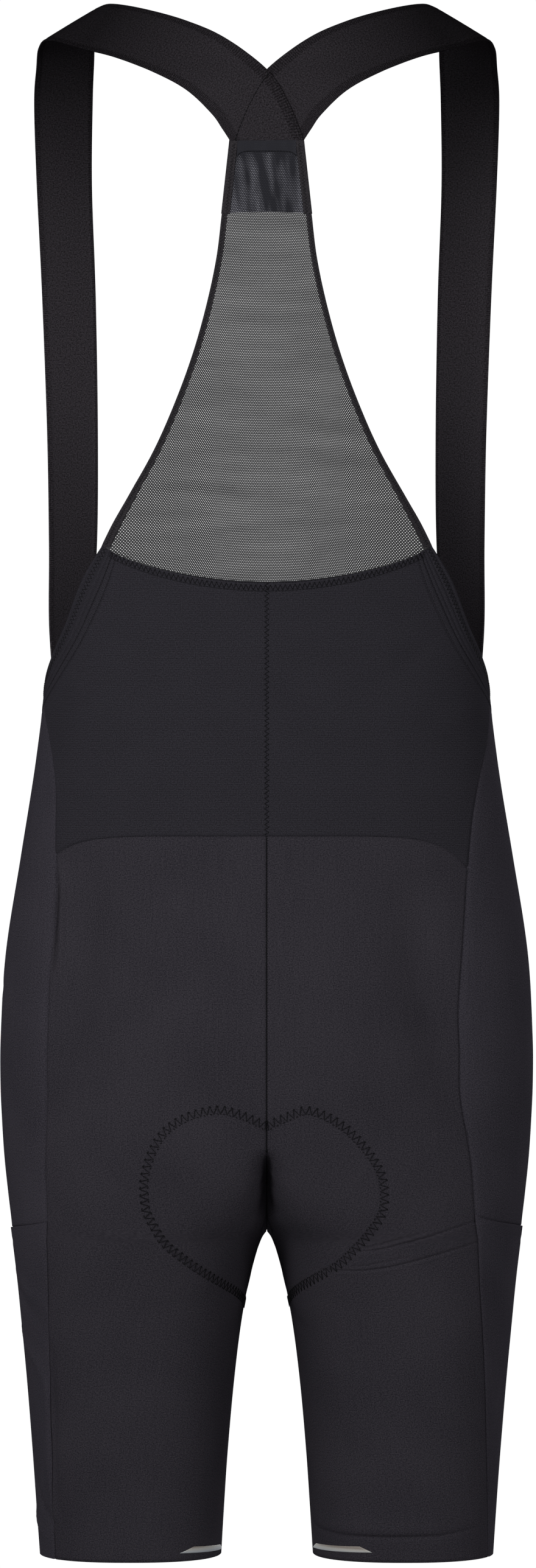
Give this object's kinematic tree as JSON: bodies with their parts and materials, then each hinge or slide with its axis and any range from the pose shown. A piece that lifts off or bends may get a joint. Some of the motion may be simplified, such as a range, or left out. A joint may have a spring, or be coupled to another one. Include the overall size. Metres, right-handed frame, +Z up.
{
  "type": "cargo cycling bib shorts",
  "caption": "Close-fitting cycling shorts with shoulder straps crossing at a mesh back, a seat pad and side cargo pockets, filled out as worn.",
  "frame": {"origin": "midway between the shoulder straps' crests, at the height where they rest on the shoulders", "axes": "+Z up, the wearer faces -Y, the wearer's left is +X"},
  "size_m": [0.375, 0.2242, 1.0924],
  "materials": {
    "black_knit": "smooth matt stretch knit with a faint sheen",
    "black_rib_knit": "fine horizontal rib, matt",
    "black_webbing": "matt woven elastic",
    "open_mesh": "open knitted mesh, see-through",
    "pad_foam": "soft moulded foam under a knit face",
    "reflective_film": "satin silver-grey film"
  },
  "bodies": {
    "root": {"strap_left": "black_webbing", "strap_right": "black_webbing", "back_tab": "open_mesh", "back_mesh": "open_mesh", "mesh_binding_left": "black_webbing", "mesh_binding_right": "black_webbing", "waist_band_left": "black_rib_knit", "waist_band_right": "black_rib_knit", "back_waist_left": "black_rib_knit", "back_waist_right": "black_rib_knit", "back_leg_left": "black_knit", "back_leg_right": "black_knit", "side_panel_left": "black_knit", "side_panel_right": "black_knit", "front_left": "black_knit", "front_right": "black_knit", "pocket_left": "black_knit", "pocket_right": "black_knit", "seat_pad": "pad_foam", "gripper_left": "black_webbing", "gripper_right": "black_webbing", "reflective_left": "reflective_film", "reflective_right": "reflective_film"}
  },
  "joints": []
}
